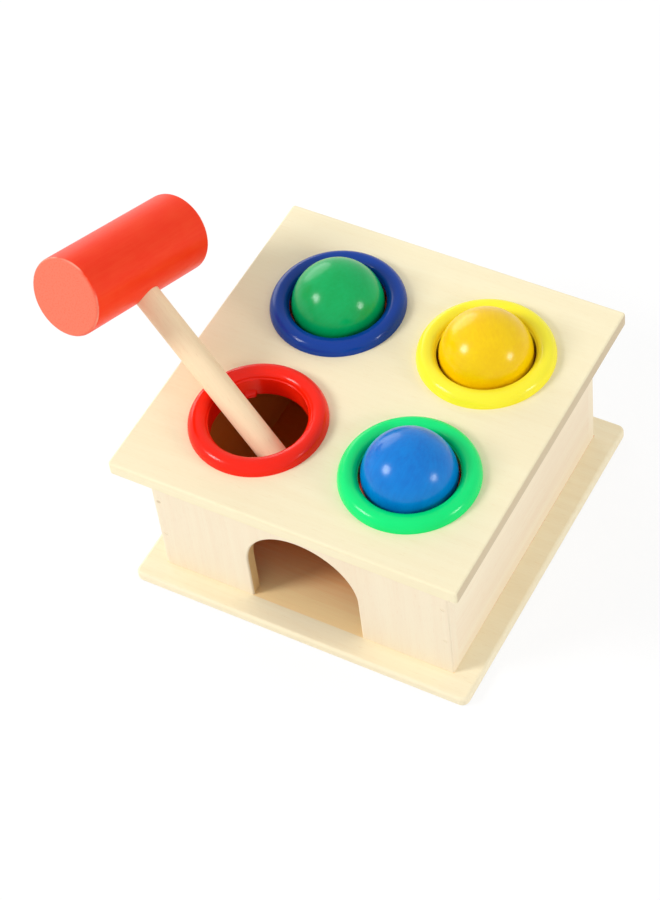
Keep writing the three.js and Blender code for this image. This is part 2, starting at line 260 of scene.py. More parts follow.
# %% Make the lid and the base
RINGS = ["blue_ring", "yellow_ring", "red_ring", "green_ring"]
HOLE_RADIUS = 26.9 * MM
HOLE_SIDES = 96
lid_low, lid_high = box("top_board")
lid = eased_board("lid", lid_low, lid_high, LID_CORNER, LID_EDGE)
for ring in RINGS:
    middle = sum(box(ring)) / 2
    below = np.array([middle[0], middle[1], lid_low[2] - LID_EDGE])
    depth = lid_high[2] - lid_low[2] + 2 * LID_EDGE
    cut(lid, drum("hole", below, Z_AXIS, HOLE_RADIUS, depth, HOLE_SIDES))
dress(lid, "top_board", "box")
dress(eased_board("base", *box("base_board"), BASE_CORNER, BASE_EDGE), "base_board", "box")

# %% [markdown]
# ## The walls
# The front and back walls cover the ends of the side walls, so only their outer corners are sanded.
# Each is an outline in plan, carried straight up. The arch is cut with a tool that is an outline too:
# two upright jambs and a half circle, carried through the wall and flared at the face, which leaves a
# sanded edge. Small holes take the brads that pin the corners.

# %% The front and back walls
WALL_EDGE = 1.0 * MM
ARCH_HALF_WIDTH = 29.5 * MM
ARCH_SPRING = 26.8 * MM
ARCH_EDGE = 1.0 * MM
ARCH_STEPS = 72
ARCH_DROP = 4.0 * MM
BRAD_HOLE_RADIUS = 1.03 * MM
BRAD_DEPTH = 20.55 * MM
BRAD_SIDES = 28
BRADS = sorted(node for node in frame["nodes"] if node.startswith("brad_"))


def end_wall(name, node, face):
    """A wall: its plan outline, with the two outer corners as quarter circles, carried from floor to lid.
    face is -1 for the front and 1 for the back."""
    low, high = box(node)
    outer, inner = (low[1], high[1]) if face < 0 else (high[1], low[1])
    round_y, axes = outer - face * WALL_EDGE, (WALL_EDGE, face * WALL_EDGE)
    left = arc((low[0] + WALL_EDGE, round_y), axes, 180, 90, ROUND_STEPS)
    right = arc((high[0] - WALL_EDGE, round_y), axes, 90, 0, ROUND_STEPS)
    plan = np.concatenate([[[low[0], inner]], left, right, [[high[0], inner]], [[low[0], inner]]])
    outline = np.broadcast_to(plan, (2, *plan.shape))
    level = np.broadcast_to(np.array([low[2], high[2]])[:, None, None], (2, len(plan), 1))
    return skin(name, np.concatenate([outline, level], axis=-1))


def arch_tool(low, high):
    """The arch: jamb, half circle and jamb, grown by a width and carried from inside the box out through
    the wall. The growth follows a quarter circle at the face."""
    bend = arc((0, 0), (1, 1), 180, 0, ARCH_STEPS)
    foot = low[2] - ARCH_DROP
    flare = arc((ARCH_EDGE, 0), (ARCH_EDGE, ARCH_EDGE), 180, 90, ROUND_STEPS)
    grow = np.concatenate([[0], flare[:, 0], [ARCH_EDGE]])
    depth = np.concatenate([[high[1] + WALL_EDGE], low[1] + ARCH_EDGE - flare[:, 1], [low[1] - WALL_EDGE]])
    half = (ARCH_HALF_WIDTH + grow)[:, None]
    x = np.concatenate([-half, half * bend[:, 0], half, -half], axis=1)
    spring = low[2] + ARCH_SPRING
    floor = np.full_like(half, foot)
    z = np.concatenate([floor, spring + half * bend[:, 1], floor, floor], axis=1)
    y = np.broadcast_to(depth[:, None], x.shape)
    return skin("arch", np.stack([x, y, z], axis=-1))


# %% Cut and place the walls
for name, node, face in (("front", "front_wall", -1), ("back", "back_wall", 1)):
    wall = end_wall(name, node, face)
    low, high = box(node)
    if face < 0:
        cut(wall, arch_tool(low, high))
    for brad in BRADS:
        if name in brad:
            middle = sum(box(brad)) / 2
            outer = low[1] if face < 0 else high[1]
            start = np.array([middle[0], outer + face * WALL_EDGE, middle[2]])
            inward = np.array([0.0, -face, 0.0])
            cut(wall, drum("bore", start, inward, BRAD_HOLE_RADIUS, BRAD_DEPTH, BRAD_SIDES))
    dress(wall, node, "box")

# %% [markdown]
# ## The brads
# Pins through the front and back walls hold the corners. Each is turned from a profile of distance along
# its line and radius: a dab of filler with a rounded rim, the sunk head, the shank and the point.

# %% The brads, with a dab of filler on the sunk head
PIN_HEAD_RADIUS = 1.0 * MM
PIN_HEAD_DEPTH = 1.0 * MM
SHANK_RADIUS = 0.7 * MM
POINT = 1.6 * MM
DAB = 0.34 * MM
DISH = 0.12 * MM
RIM_STEPS = 4
for node in BRADS:
    low, high = box(node)
    face = -1 if "front" in node else 1
    length = high[1] - low[1]
    start = np.array([(low[0] + high[0]) / 2, low[1] if face < 0 else high[1], (low[2] + high[2]) / 2])
    rim = arc((DISH - DAB, PIN_HEAD_RADIUS - DISH), (DISH, DISH), 180, 90, RIM_STEPS)
    shank = [[PIN_HEAD_DEPTH, PIN_HEAD_RADIUS], [PIN_HEAD_DEPTH, SHANK_RADIUS],
             [length - POINT, SHANK_RADIUS], [length, 0]]
    profile = np.concatenate([[[DISH - DAB, 0.0]], rim, shank])
    dress(turned(node + "_pin", profile, start, [0, -face, 0], BRAD_SIDES), node, "box")

# %% [markdown]
# ## The hammer
# The head is a short length of thick dowel with sanded ends. The handle is glued into a blind socket in
# its side. The joint in the frame slides along the handle, so its axis gives the handle's direction, and
# the head lies square to it, rolled about the handle by an angle read from the photograph.

# %% The hammer's directions
LEAN_ROLL = math.radians(-22.0)
UP_HANDLE = np.array(next(j["axis"] for j in frame["joints"] if j["name"] == "hammer_lift"))
UP_HANDLE /= np.linalg.norm(UP_HANDLE)
level = np.cross(UP_HANDLE, Z_AXIS)
level /= -np.linalg.norm(level)
over = np.cross(level, UP_HANDLE)
HEAD_AXIS = math.cos(LEAN_ROLL) * level + math.sin(LEAN_ROLL) * over
HEAD_MIDDLE = sum(box("hammer_head")) / 2
print("handle runs up", UP_HANDLE.round(4), "and the head along", HEAD_AXIS.round(4))

# %% The head and the handle
HAMMER_RADIUS = 19.6 * MM
HAMMER_LENGTH = 82.0 * MM
HAMMER_EDGE = 1.6 * MM
HANDLE_RADIUS = 6.4 * MM
HANDLE_LENGTH = 167.0 * MM
HANDLE_EDGE = 1.5 * MM
SOCKET_DEPTH = 26.0 * MM
SOCKET_FIT = 0.15 * MM
HAMMER_SIDES = 160
HANDLE_SIDES = 96


def dowel_profile(low, high, radius, edge_low, edge_high):
    """A dowel: flat ends, each with a quarter circle to the side."""
    first = arc((low + edge_low, radius - edge_low), (edge_low, edge_low), 180, 90, ROUND_STEPS)
    last = arc((high - edge_high, radius - edge_high), (edge_high, edge_high), 90, 0, ROUND_STEPS)
    return np.concatenate([first, last])


head = turned(
    "head",
    dowel_profile(-HAMMER_LENGTH / 2, HAMMER_LENGTH / 2, HAMMER_RADIUS, HAMMER_EDGE, HAMMER_EDGE),
    HEAD_MIDDLE, HEAD_AXIS, HAMMER_SIDES,
)
socket_floor = HEAD_MIDDLE + UP_HANDLE * (SOCKET_DEPTH - HAMMER_RADIUS)
socket_radius = HANDLE_RADIUS + SOCKET_FIT
cut(head, drum("socket", socket_floor, -UP_HANDLE, socket_radius, 2 * HAMMER_RADIUS, HANDLE_SIDES))
dress(head, "hammer_head", "hammer")

top = SOCKET_DEPTH - HAMMER_RADIUS - 2 * SOCKET_FIT
handle = turned(
    "handle",
    dowel_profile(top - HANDLE_LENGTH, top, HANDLE_RADIUS, HANDLE_EDGE, SOCKET_FIT),
    HEAD_MIDDLE, UP_HANDLE, HANDLE_SIDES,
)
dress(handle, "hammer_handle", "hammer")

# %% [markdown]
# ## The collars
# Each collar is one moulding: a rounded bead that lies on the lid, a fine lip, and a sleeve through the
# hole. Three small nubs near the sleeve's lower end hold the ball until it is struck. The section is
# carried round the middle, and on its inner wall the nubs push the radius inwards over a short angle.

# %% The collar's section and its nubs
THROAT = 23.6 * MM
SLEEVE = 26.6 * MM
SLEEVE_LENGTH = 9.2 * MM
SLEEVE_EDGE = 1.2 * MM
BEAD_HEIGHT = 5.7 * MM
BEAD_SHOULDER = 4.7 * MM
LIP_STEP = 0.5 * MM
LIP_HEIGHT = 2.6 * MM
NUB_COUNT = 3
NUB_ANGLE = math.radians(131)
NUB_WIDTH = 6.0 * MM
NUB_TIP = 1.5 * MM
NUB_RISE = 1.8 * MM
NUB_BODY = 0.73 * MM
NUB_LEAD = 1.1 * MM
NUB_SIDE = 0.9 * MM
NUB_WALL = 0.9 * SLEEVE_EDGE
COLLAR_SIDES = 288
WALL_STEPS, LIP_STEPS, SHOULDER_STEPS, SLEEVE_STEPS = 48, 14, 16, 6


def collar_section(bead):
    """The section as radius and height above the lid: up the inner wall, over the lip and the bead, back
    under the flange and down the outside of the sleeve."""
    crest = bead - BEAD_SHOULDER
    inner = np.linspace(SLEEVE_EDGE - SLEEVE_LENGTH, LIP_HEIGHT - LIP_STEP, WALL_STEPS)
    wall = np.stack([np.full(WALL_STEPS, THROAT), inner], axis=-1)
    lip_axes = (crest - THROAT - LIP_STEP, BEAD_HEIGHT - LIP_HEIGHT)
    lip = arc((crest, LIP_HEIGHT), lip_axes, 180, 90, LIP_STEPS)
    shoulder = arc((crest, 0), (BEAD_SHOULDER, BEAD_HEIGHT), 90, 0, SHOULDER_STEPS)[1:]
    sleeve = [[SLEEVE, 0], [SLEEVE, -SLEEVE_LENGTH], [THROAT + SLEEVE_EDGE, -SLEEVE_LENGTH]]
    foot = (THROAT + SLEEVE_EDGE, SLEEVE_EDGE - SLEEVE_LENGTH)
    ease = arc(foot, (SLEEVE_EDGE, SLEEVE_EDGE), 270, 180, SLEEVE_STEPS)
    return np.concatenate([wall, lip, shoulder, sleeve, ease])


def nub_depth(height, angle):
    """How far a nub stands in from the wall: a round tip on a short body, with a slope above it, times a
    window round the collar that falls off smoothly at the nub's sides."""
    away = height - (NUB_RISE - SLEEVE_LENGTH)
    tip = NUB_BODY + np.sqrt(np.clip(NUB_TIP**2 - away**2, 0, None))
    slope = NUB_BODY * np.clip(1 - (away - NUB_TIP) / NUB_LEAD, 0, 1)
    depth = np.where(np.abs(away) <= NUB_TIP, tip, np.where(away > 0, slope, 0))
    turn = 2 * np.pi / NUB_COUNT
    aside = np.abs((angle - NUB_ANGLE + turn / 2) % turn - turn / 2) * THROAT
    window = np.clip((NUB_WIDTH / 2 + NUB_SIDE / 2 - aside) / NUB_SIDE, 0, 1)
    return depth * window**2 * (3 - 2 * window)


def collar(name, node):
    """A collar: the section carried round the node's middle, with the nubs taken off the inner radius."""
    low, high = box(node)
    middle = (low + high) / 2
    section = collar_section((high[0] - low[0]) / 2)
    angle = np.linspace(0, 2 * np.pi, COLLAR_SIDES + 1)[None, :]
    radius, height = section[:, 0, None], section[:, 1, None]
    inside = radius <= THROAT + NUB_WALL
    radius = radius - np.where(inside & (height < 0), nub_depth(height, angle), 0)
    x = middle[0] + radius * np.cos(angle)
    y = middle[1] + radius * np.sin(angle)
    z = high[2] - BEAD_HEIGHT + height + 0 * angle
    return skin(name, np.stack([x, y, z], axis=-1))


for ring in RINGS:
    color = ring.split("_")[0]
    dress(collar(color + "_collar", ring), ring, "box")

# %% [markdown]
# ## The balls
# Wooden balls come off a lathe nearly round, and paint fills what is left, so a ball here is a sphere
# whose radius wavers by a few hundredths of a millimetre. That is enough to bend a highlight.

# %% Balls that waver
BALLS = ["green_ball", "yellow_ball", "blue_ball", "red_ball"]
BALL_RADIUS = 22.5 * MM
BALL_WAVER = 0.03 * MM
BALL_GRID = (96, 192)
WAVES_ROUND, WAVES_OVER = 3, 5


def painted_ball(name, node, turn):
    """A ball: the middle plus a radius along the direction (longitude, latitude). The radius is shorter by
    a waver of two slow sines, started at an angle of the ball's own."""
    middle = sum(box(node)) / 2
    latitude = np.linspace(-np.pi / 2, np.pi / 2, BALL_GRID[0] + 1)[:, None]
    longitude = np.linspace(0, 2 * np.pi, BALL_GRID[1] + 1)[None, :]
    slow = np.sin(WAVES_ROUND * longitude + turn) * np.cos(latitude) ** 3
    slow = slow + np.sin(WAVES_OVER * latitude + turn)
    radius = BALL_RADIUS - BALL_WAVER * (slow + 2) / 4
    x = middle[0] + radius * np.cos(latitude) * np.cos(longitude)
    y = middle[1] + radius * np.cos(latitude) * np.sin(longitude)
    z = middle[2] + radius * np.sin(latitude)
    return skin(name, np.stack([x, y, z], axis=-1))


for turn, node in enumerate(BALLS):
    dress(painted_ball(node + "_turned", node, turn), node, node)

# %% [markdown]
# ## Wood, paint and plastic
# Three effects are shared, so each is a shader node group: the grain of pale wood, paint over turned
# wood, and moulded plastic. A group only puts out a colour, a roughness and a height. The Principled
# shader stays in the material, where it takes them and its own plain numbers.

# %% Helpers for shader nodes
def add(tree, kind, **values):
    """A new node. Names of sockets set their values, and names of the node's own settings set those."""
    made = tree.nodes.new("ShaderNode" + kind)
    for key, value in values.items():
        if key in made.inputs:
            made.inputs[key].default_value = value
        else:
            setattr(made, key, value)
    return made


def new_group(name, inputs, outputs):
    """An empty shader group with named sockets: inputs as name, kind and value, outputs as name and kind."""
    tree = bpy.data.node_groups.new(name, "ShaderNodeTree")
    for label, kind, value in inputs:
        tree.interface.new_socket(label, in_out="INPUT", socket_type=kind).default_value = value
    for label, kind in outputs:
        tree.interface.new_socket(label, in_out="OUTPUT", socket_type=kind)
    return tree, tree.nodes.new("NodeGroupInput").outputs, tree.nodes.new("NodeGroupOutput").inputs


def bare_tree(owner):
    """The node tree of a material or a world, emptied."""
    owner.use_nodes = True
    owner.node_tree.nodes.clear()
    return owner.node_tree


def feed(tree, value, socket):
    """Links a socket to another one, or sets a plain number or colour on it."""
    if isinstance(value, bpy.types.NodeSocket):
        tree.links.new(value, socket)
    else:
        socket.default_value = value


def calc(tree, operation, *terms, clamp=False):
    """The result of one step of arithmetic. Each term is a socket or a plain number."""
    made = add(tree, "Math", operation=operation, use_clamp=clamp)
    for term, socket in zip(terms, made.inputs):
        feed(tree, term, socket)
    return made.outputs[0]


def times(tree, first, second):
    """One value times another."""
    return calc(tree, "MULTIPLY", first, second)


def sum_of(tree, *terms):
    """A sum of values, each times its own weight."""
    total = 0.0
    for value, weight in terms:
        total = calc(tree, "MULTIPLY_ADD", value, weight, total)
    return total


def off_middle(tree, vector, axis):
    """The distance from the middle along one axis of a vector, the same on both sides."""
    apart = add(tree, "SeparateXYZ")
    tree.links.new(vector, apart.inputs[0])
    return calc(tree, "ABSOLUTE", apart.outputs[axis])


# %% Helpers for textures and colours
def stretched(tree, vector, scale):
    """The vector times a scale along each axis: a small number along the grain draws a texture out."""
    made = add(tree, "VectorMath", operation="MULTIPLY")
    tree.links.new(vector, made.inputs[0])
    made.inputs[1].default_value = scale
    return made.outputs[0]


def noise(tree, vector, **values):
    """A noise texture's value on a vector."""
    made = add(tree, "TexNoise", **values)
    tree.links.new(vector, made.inputs["Vector"])
    return made.outputs["Fac"]


def ramp(tree, value, low, high, to_low=0.0, to_high=1.0):
    """A value carried from the range low to high onto another, and held at its ends."""
    made = add(tree, "MapRange")
    for socket, number in zip(("From Min", "From Max", "To Min", "To Max"), (low, high, to_low, to_high)):
        made.inputs[socket].default_value = number
    tree.links.new(value, made.inputs["Value"])
    return made.outputs["Result"]


def blend(tree, factor, first, second):
    """A mix of two colours by a factor. Either colour may be a socket or plain. A Mix node has sockets of the
    same names for numbers and vectors too, so the colours are picked by their kind."""
    made = add(tree, "Mix", data_type="RGBA")
    tree.links.new(factor, made.inputs["Factor"])
    sides = [socket for socket in made.inputs if socket.type == "RGBA"]
    for color, socket in zip((first, second), sides):
        feed(tree, color, socket)
    return next(socket for socket in made.outputs if socket.type == "RGBA")


# %% [markdown]
# ### Pale wood
# The boards are a pale, close-grained wood. From a step away it looks even, and nearer there are long
# soft streaks, a faint figure where the saw crossed the yearly rings, and short darker flecks. Each is a
# texture drawn out along the grain, which the group takes to run along its own X axis. Inside the box
# the shade is painted into the colour: a warm brown within the walls and under the lid, and on the floor
# a painted light near the arch that turns to painted shade deeper in. So the group also takes the place
# on the toy, and turns to these inner colours there.

# %% Where the wood changes, and where shade is painted in
COLOR, VALUE, VECTOR = "NodeSocketColor", "NodeSocketFloat", "NodeSocketVector"
FINISH_OUTPUTS = [("Color", COLOR), ("Roughness", VALUE), ("Height", VALUE)]
FACE_MARGIN = 0.05 * MM
# The floor's painted shade starts this far behind the front wall, and is full at the next depth.
SHADE_START_DEPTH = 8.0 * MM
SHADE_FULL_DEPTH = 46.0 * MM
END_FADE = 0.5 * MM


def inside_box(tree, place, half):
    """1 inside the box and 0 outside: the larger of the distances from the middle along X and Y is less than
    half of the box, and the height lies between the base's face and the lid's underside. The mask lays the
    painted shade of the inside. Also the way in from the front wall, from 0 just behind it to 1 at a depth,
    along which the floor's painted light turns to painted shade."""
    apart = add(tree, "SeparateXYZ")
    tree.links.new(place, apart.inputs[0])
    height = apart.outputs["Z"]
    farther = calc(tree, "MAXIMUM", off_middle(tree, place, "X"), off_middle(tree, place, "Y"))
    within = calc(tree, "LESS_THAN", farther, half)
    above = calc(tree, "GREATER_THAN", height, box("base_board")[1][2] - FACE_MARGIN)
    below = calc(tree, "LESS_THAN", height, box("top_board")[0][2] + FACE_MARGIN)
    inside = times(tree, times(tree, within, above), below)
    front = box("front_wall")[0][1]
    return inside, ramp(tree, apart.outputs["Y"], front + SHADE_START_DEPTH, front + SHADE_FULL_DEPTH)


def end_grain(tree, vector, start):
    """0 along a board and 1 on its sawn ends: how far the distance along the grain is past a start."""
    past = calc(tree, "SUBTRACT", off_middle(tree, vector, "X"), start)
    return ramp(tree, past, 0.0, END_FADE)


# %% The grain of pale wood
STREAK_SCALE, BAND_SCALE, FLECK_SCALE = (24, 640, 640), (5, 34, 34), (210, 2600, 2600)
YEAR_SCALE, YEAR_STRETCH = 62.0, (0.12, 1, 1)
STREAK_RANGE, BAND_RANGE, FLECK_RANGE, TONE_RANGE = (0.3, 0.7), (0.2, 0.8), (0.64, 0.74), (0.42, 0.95)
GRAIN_ROUGHNESS = (0.9, 1.12)
INNER_STREAKS = (-0.07, 0.07)
INNER_SHARE = (1.0, 0.97)
WHITE, BLACK, NOWHERE = (1, 1, 1, 1), (0, 0, 0, 1), (0, 0, 0)


def make_grain():
    """Tone is streaks, yearly rings, slow bands and flecks, each times its weight. It mixes pale with dark.
    Then the end colour comes in on sawn ends, and inside the box a streaked painted shade that goes from
    the inner colour to the deep one. Streaks less flecks are the height."""
    tree, given, out = new_group(
        "pale wood grain and inner shade",
        [("Vector", VECTOR, NOWHERE), ("Place", VECTOR, NOWHERE), ("Pale", COLOR, WHITE),
         ("Dark", COLOR, BLACK), ("Inner", COLOR, BLACK), ("Deep", COLOR, BLACK),
         ("Inner Half", VALUE, 0.0), ("End", COLOR, BLACK), ("End Start", VALUE, 1.0),
         ("Figure", VALUE, 0.5), ("Roughness", VALUE, 0.5)],
        FINISH_OUTPUTS,
    )
    vector = given["Vector"]
    streaks = noise(tree, stretched(tree, vector, STREAK_SCALE), Scale=1.0, Detail=5.0, Roughness=0.62)
    bands = noise(tree, stretched(tree, vector, BAND_SCALE), Scale=1.0, Detail=2.0, Distortion=0.6)
    years = add(tree, "TexWave", wave_type="RINGS", rings_direction="X",
                Scale=YEAR_SCALE, Distortion=2.4, Detail=2.0)
    tree.links.new(stretched(tree, vector, YEAR_STRETCH), years.inputs["Vector"])
    dashes = noise(tree, stretched(tree, vector, FLECK_SCALE), Scale=1.0, Detail=1.0)
    flecks = ramp(tree, dashes, *FLECK_RANGE)
    tone = sum_of(tree, (streaks, 0.45), (years.outputs["Fac"], 0.1), (bands, 0.55), (flecks, 0.3))
    shown = times(tree, ramp(tree, tone, *TONE_RANGE), given["Figure"])
    along = blend(tree, shown, given["Pale"], given["Dark"])
    outer = blend(tree, end_grain(tree, vector, given["End Start"]), along, given["End"])
    # Painted shade inside the box, streaked, from the inner colour near the front to the deep one further in.
    inside, deep = inside_box(tree, given["Place"], given["Inner Half"])
    grained = sum_of(tree, (deep, 1.0), (ramp(tree, streaks, *STREAK_RANGE, *INNER_STREAKS), 1.0))
    inner = blend(tree, grained, given["Inner"], given["Deep"])
    share = times(tree, inside, ramp(tree, bands, *BAND_RANGE, *INNER_SHARE))
    tree.links.new(blend(tree, share, outer, inner), out["Color"])
    rough = times(tree, ramp(tree, streaks, *STREAK_RANGE, *GRAIN_ROUGHNESS), given["Roughness"])
    tree.links.new(rough, out["Roughness"])
    tree.links.new(sum_of(tree, (streaks, 1.0), (flecks, -0.7)), out["Height"])
    return tree


GRAIN = make_grain()

# %% [markdown]
# ### Paint and plastic
# The balls and the hammer's head are dipped in paint. The grain under it shows as a faint change of
# depth and as soft ripples in the shine. The collars are moulded, so their colour is even, with slow
# flow marks, and their skin has only a trace of fine texture.

# %% Paint and moulded plastic
DEPTH_RANGE, WORN_RANGE = (0.4, 0.72), (0.3, 0.7)
COAT_ROUGHNESS = (0.85, 1.2)


def make_coat(name, slow, fine, grain):
    """Depth is slow clouds plus the fibres below, each times its weight. It mixes the colour with its thin or
    deep tone. Fibres, clouds and a fine peel make the height, and peel and clouds the roughness."""
    tree, given, out = new_group(
        name,
        [("Vector", VECTOR, NOWHERE), ("Color", COLOR, WHITE), ("Thin", COLOR, WHITE),
         ("Amount", VALUE, 0.5), ("Roughness", VALUE, 0.2)],
        FINISH_OUTPUTS,
    )
    vector = given["Vector"]
    clouds = noise(tree, vector, Scale=slow, Detail=2.0, Distortion=0.4)
    fibres = noise(tree, stretched(tree, vector, grain), Scale=1.0, Detail=4.0, Roughness=0.6)
    peel = noise(tree, vector, Scale=fine, Detail=2.0)
    depth = ramp(tree, sum_of(tree, (clouds, 0.6), (fibres, 0.5)), *DEPTH_RANGE)
    shown = times(tree, depth, given["Amount"])
    tree.links.new(blend(tree, shown, given["Color"], given["Thin"]), out["Color"])
    worn = ramp(tree, sum_of(tree, (peel, 0.5), (clouds, 0.5)), *WORN_RANGE, *COAT_ROUGHNESS)
    tree.links.new(times(tree, worn, given["Roughness"]), out["Roughness"])
    tree.links.new(sum_of(tree, (peel, 0.5), (fibres, 0.6), (clouds, 0.8)), out["Height"])
    return tree


PAINT = make_coat("paint on turned wood", slow=70.0, fine=900.0, grain=(60, 620, 620))
PLASTIC = make_coat("moulded plastic", slow=28.0, fine=1500.0, grain=(40, 60, 60))

# %% A material from a group
def along_x(axis):
    """A turn that brings an axis to X: its rows are the axis and two directions square to it."""
    return Matrix([list(row) for row in square_to(axis)])


def material(name, group, axis, middle, bump, plain, **values):
    """A Principled material fed by a group. The pattern's X runs along an axis through a middle, bump is the
    height in metres, plain holds the shader's own numbers, and values the group's."""
    made = bpy.data.materials.new(name)
    tree = bare_tree(made)
    shader = add(tree, "BsdfPrincipled", **plain)
    output = add(tree, "OutputMaterial")
    place = add(tree, "Mapping")
    turn = along_x(axis)
    place.inputs["Rotation"].default_value = turn.to_euler()
    place.inputs["Location"].default_value = -(turn @ Vector(middle))
    coords = add(tree, "TexCoord")
    effect = add(tree, "Group", node_tree=group)
    for key, value in values.items():
        effect.inputs[key].default_value = value
    relief = add(tree, "Bump", Strength=1.0, Distance=bump)
    tree.links.new(coords.outputs["Object"], place.inputs["Vector"])
    if "Place" in effect.inputs:
        tree.links.new(coords.outputs["Object"], effect.inputs["Place"])
    tree.links.new(place.outputs["Vector"], effect.inputs["Vector"])
    tree.links.new(effect.outputs["Color"], shader.inputs["Base Color"])
    tree.links.new(effect.outputs["Roughness"], shader.inputs["Roughness"])
    tree.links.new(effect.outputs["Height"], relief.inputs["Height"])
    tree.links.new(relief.outputs["Normal"], shader.inputs["Normal"])
    tree.links.new(shader.outputs["BSDF"], output.inputs["Surface"])
    return made


def inner_nodes(made):
    """A material's tree, shader, group outputs and mapped place, for a finish that adds to them."""
    kinds = {node.type: node for node in made.node_tree.nodes}
    place = kinds["MAPPING"].outputs["Vector"]
    return made.node_tree, kinds["BSDF_PRINCIPLED"], kinds["GROUP"].outputs, place


def wear(node, finish):
    """Gives a finish to the piece that stands for a node, or to the node itself where none does."""
    piece = DRESSED.get(node, frame["nodes"][node])
    if not piece.data.materials:
        piece.data.materials.append(finish)
    for held in piece.material_slots:
        held.material = finish


# %% Wooden pieces
WOOD_BUMP = 0.03 * MM
WOOD_SHINE = {"Specular IOR Level": 0.2}
WOOD_ROUGHNESS = 0.55
SAWN_DEPTH = 0.4 * MM
WALL_FACE, WALL_INNER = -box("front_wall")[0][1], -box("front_wall")[1][1]
LID = {"Pale": (0.95, 0.86, 0.60, 1), "Dark": (0.88, 0.73, 0.45, 1)}
BASE = {"Pale": (0.94, 0.85, 0.62, 1), "Dark": (0.84, 0.66, 0.40, 1)}
WALL = {"Pale": (0.93, 0.82, 0.62, 1), "Dark": (0.87, 0.68, 0.49, 1)}
DOWEL = {"Pale": (0.98, 0.79, 0.52, 1), "Dark": (0.84, 0.59, 0.36, 1)}
# Darker end grain on the lid's sawn sides; this tone also paints the shade along those sides.
SAWN_END_AND_SHADE = {"End": (0.57, 0.45, 0.30, 1), "End Start": lid_high[0] - SAWN_DEPTH}
# Painted shade inside the box: brown on the inner walls and under the lid, tan in the arch's jambs, and on
# the floor a painted light near the arch that turns to a painted brown shade deeper in.
INNER_SHADE_BROWN, ARCH_SHADE_TAN = (0.78, 0.24, 0.03, 1), (0.80, 0.57, 0.27, 1)
FLOOR_ARCH_LIGHT_TAN, FLOOR_DEEP_SHADE_BROWN = (0.99, 0.74, 0.38, 1), (0.84, 0.19, 0.0, 1)
INNER_SHADE = {"Inner": INNER_SHADE_BROWN, "Deep": INNER_SHADE_BROWN, "Inner Half": WALL_INNER + FACE_MARGIN}
ARCH_INNER_SHADE = {"Inner": ARCH_SHADE_TAN, "Deep": ARCH_SHADE_TAN, "Inner Half": WALL_FACE - ARCH_EDGE}
FLOOR_INNER_SHADE = {"Inner": FLOOR_ARCH_LIGHT_TAN, "Deep": FLOOR_DEEP_SHADE_BROWN, "Inner Half": WALL_FACE + FACE_MARGIN}
WOODS = [
    ("top_board", "lid wood", X_AXIS, (0.0, 0.021, -0.045), 0.55, {**LID, **SAWN_END_AND_SHADE, **INNER_SHADE}),
    ("base_board", "base wood", X_AXIS, (0.03, -0.035, -0.06), 0.5, {**BASE, **FLOOR_INNER_SHADE}),
    ("front_wall", "front wood", Z_AXIS, (0.02, -0.15, 0.0), 0.65, {**WALL, **ARCH_INNER_SHADE}),
    ("back_wall", "back wood", Z_AXIS, (-0.03, 0.16, 0.0), 0.65, {**WALL, **INNER_SHADE}),
    ("left_wall", "left wood", Y_AXIS, (-0.15, 0.0, 0.02), 0.8, {**WALL, **INNER_SHADE}),
    ("right_wall", "right wood", Y_AXIS, (0.14, 0.0, 0.05), 0.8, {**WALL, **INNER_SHADE}),
    ("hammer_handle", "dowel", UP_HANDLE, HEAD_MIDDLE, 0.75, DOWEL),
]
for node, name, axis, middle, figure, tones in WOODS:
    finish = material(name, GRAIN, axis, middle, WOOD_BUMP, WOOD_SHINE,
                      Figure=figure, Roughness=WOOD_ROUGHNESS, **tones)
    wear(node, finish)
print("wooden finishes:", len(WOODS))

# %% Plastic collars
PLASTIC_BUMP = 0.004 * MM
PLASTIC_SHINE = {"Specular IOR Level": 0.22}
PLASTIC_AMOUNT, PLASTIC_ROUGHNESS = 0.6, 0.17
PLASTICS = {
    "blue_ring": ((0.002, 0.050, 0.35, 1), (0.002, 0.040, 0.29, 1)),
    "yellow_ring": ((1.0, 0.91, 0.045, 1), (0.98, 0.86, 0.03, 1)),
    "red_ring": ((0.96, 0.016, 0.003, 1), (0.88, 0.012, 0.002, 1)),
    "green_ring": ((0.002, 0.85, 0.21, 1), (0.001, 0.77, 0.18, 1)),
}
for node, (color, deep) in PLASTICS.items():
    finish = material(node + " plastic", PLASTIC, Z_AXIS, sum(box(node)) / 2, PLASTIC_BUMP, PLASTIC_SHINE,
                      Color=color, Thin=deep, Amount=PLASTIC_AMOUNT, Roughness=PLASTIC_ROUGHNESS)
    wear(node, finish)
print("plastic finishes:", len(PLASTICS))

# %% Painted balls
PAINT_BUMP = 0.03 * MM
PAINT_SHINE = {"Specular IOR Level": 0.26}
PAINT_AMOUNT, PAINT_ROUGHNESS = 0.7, 0.2
PAINTS = {
    "green_ball": ((0.0, 0.38, 0.088, 1), (0.0, 0.46, 0.13, 1), (0.6, 0.3, 0.74)),
    "yellow_ball": ((0.96, 0.64, 0.0, 1), (0.86, 0.50, 0.0, 1), (0.5, -0.8, 0.33)),
    "blue_ball": ((0.0, 0.165, 0.60, 1), (0.0, 0.25, 0.74, 1), (0.2, 0.7, 0.68)),
    "red_ball": ((0.86, 0.03, 0.012, 1), (0.92, 0.06, 0.02, 1), (0.9, 0.1, 0.42)),
}
for node, (color, thin, axis) in PAINTS.items():
    finish = material(node + " paint", PAINT, axis, sum(box(node)) / 2, PAINT_BUMP, PAINT_SHINE,
                      Color=color, Thin=thin, Amount=PAINT_AMOUNT, Roughness=PAINT_ROUGHNESS)
    wear(node, finish)
print("painted balls:", len(PAINTS))
